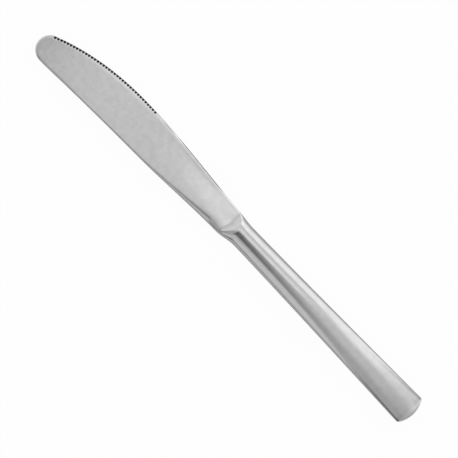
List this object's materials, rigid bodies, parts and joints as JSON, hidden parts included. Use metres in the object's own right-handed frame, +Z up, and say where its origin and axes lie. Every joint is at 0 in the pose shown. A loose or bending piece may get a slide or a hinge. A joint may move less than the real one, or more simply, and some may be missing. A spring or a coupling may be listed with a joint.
{
  "type": "dessert knife",
  "caption": "Slim satin steel dessert knife: hollow tapered handle, forged bolster and a round-tipped blade with a fine serrated front edge.",
  "frame": {"origin": "middle of the underside of the knife's box as it lies on its side", "axes": "+X along the knife from the butt to the tip, +Y towards the spine, +Z up through the thickness of the blade"},
  "size_m": [0.205, 0.019, 0.007],
  "materials": {
    "blade_steel": "satin ground stainless steel",
    "handle_steel": "satin polished stainless steel",
    "seam_solder": "solder ground flush and satin polished",
    "cement": "set mineral filler, matt"
  },
  "bodies": {
    "root": {"blade": "blade_steel", "handle_shell_upper": "handle_steel", "handle_shell_lower": "handle_steel", "handle_seam": "seam_solder", "tang_cement": "cement"}
  },
  "joints": []
}
